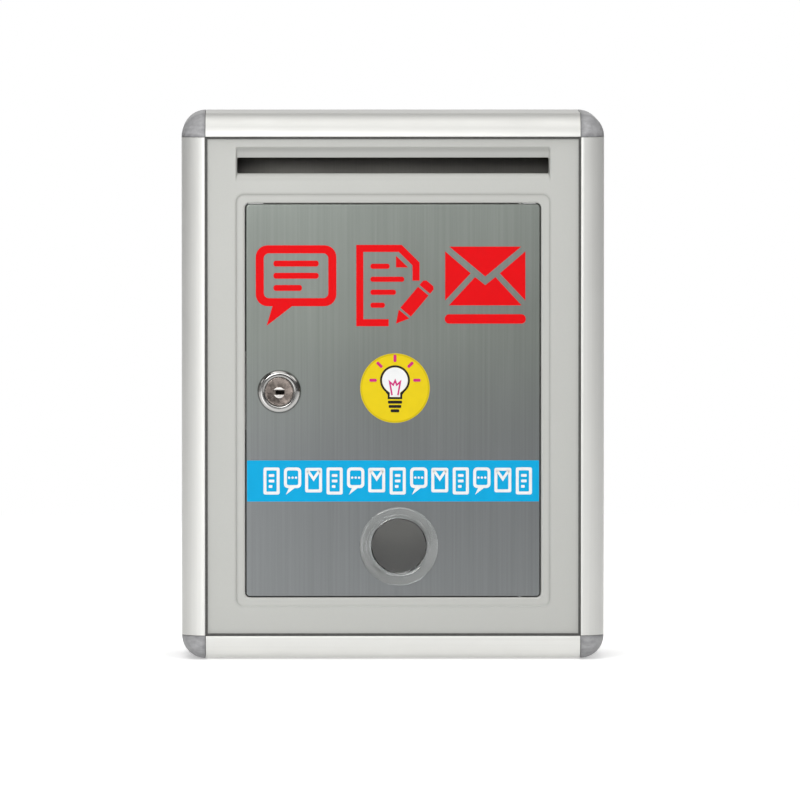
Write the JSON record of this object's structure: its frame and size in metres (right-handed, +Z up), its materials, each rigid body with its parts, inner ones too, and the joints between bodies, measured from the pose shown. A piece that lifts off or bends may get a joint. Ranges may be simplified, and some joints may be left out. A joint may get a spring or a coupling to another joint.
{
  "type": "suggestion box",
  "caption": "Wall-hung suggestion box: rounded aluminium frame, grey front with a letter slot, and a hinged steel door with a cam lock and a round window.",
  "frame": {"origin": "centre of the footprint, on the plane under the base", "axes": "+Z up; the front faces -Y; +X is to the right as seen from the front"},
  "size_m": [0.215, 0.075, 0.278],
  "materials": {
    "aluminium": "satin anodised",
    "cap_plastic": "satin moulded, silver grey",
    "panel_paint": "satin silver-grey coat",
    "seal_rubber": "matt",
    "back_sheet": "mill",
    "brushed_steel": "brushed",
    "plain_steel": "zinc plated",
    "nylon": "moulded",
    "clear_plastic": "clear, polished",
    "black_plastic": "moulded",
    "chrome": "polished"
  },
  "bodies": {
    "box": {"frame_top": "aluminium", "frame_bottom": "aluminium", "frame_left": "aluminium", "frame_right": "aluminium", "corner_cap_top_left": "cap_plastic", "corner_cap_top_right": "cap_plastic", "corner_cap_bottom_left": "cap_plastic", "corner_cap_bottom_right": "cap_plastic", "front_panel": "panel_paint", "panel_seal": "seal_rubber", "back_panel": "back_sheet", "lock_keeper": "plain_steel", "keeper_rivet_1": "plain_steel", "keeper_rivet_2": "plain_steel", "hinge_bush_top": "nylon", "hinge_bush_bottom": "nylon", "frame_screw_1": "plain_steel", "frame_screw_2": "plain_steel", "frame_screw_3": "plain_steel", "frame_screw_4": "plain_steel", "frame_screw_5": "plain_steel", "frame_screw_6": "plain_steel", "frame_screw_7": "plain_steel", "frame_screw_8": "plain_steel"},
    "door": {"door_panel": "brushed_steel", "hinge_pin_top": "plain_steel", "hinge_pin_bottom": "plain_steel", "window_lens": "clear_plastic", "window_ring": "black_plastic", "lock_body": "chrome", "lock_washer": "plain_steel", "lock_nut": "plain_steel"},
    "lock_plug": {"lock_plug": "chrome", "lock_cam": "plain_steel", "cam_washer": "plain_steel", "cam_screw": "plain_steel"}
  },
  "joints": [
    {"name": "door_hinge", "type": "hinge", "parent": "box", "child": "door", "pos_m": [0.0647, -0.03, 0.13185], "axis": [0, 0, 1], "range_deg": [0, 110]},
    {"name": "lock_turn", "type": "hinge", "parent": "door", "child": "lock_plug", "pos_m": [-0.0579, -0.0333, 0.1364], "axis": [0, 1, 0], "range_deg": [0, 90]}
  ]
}
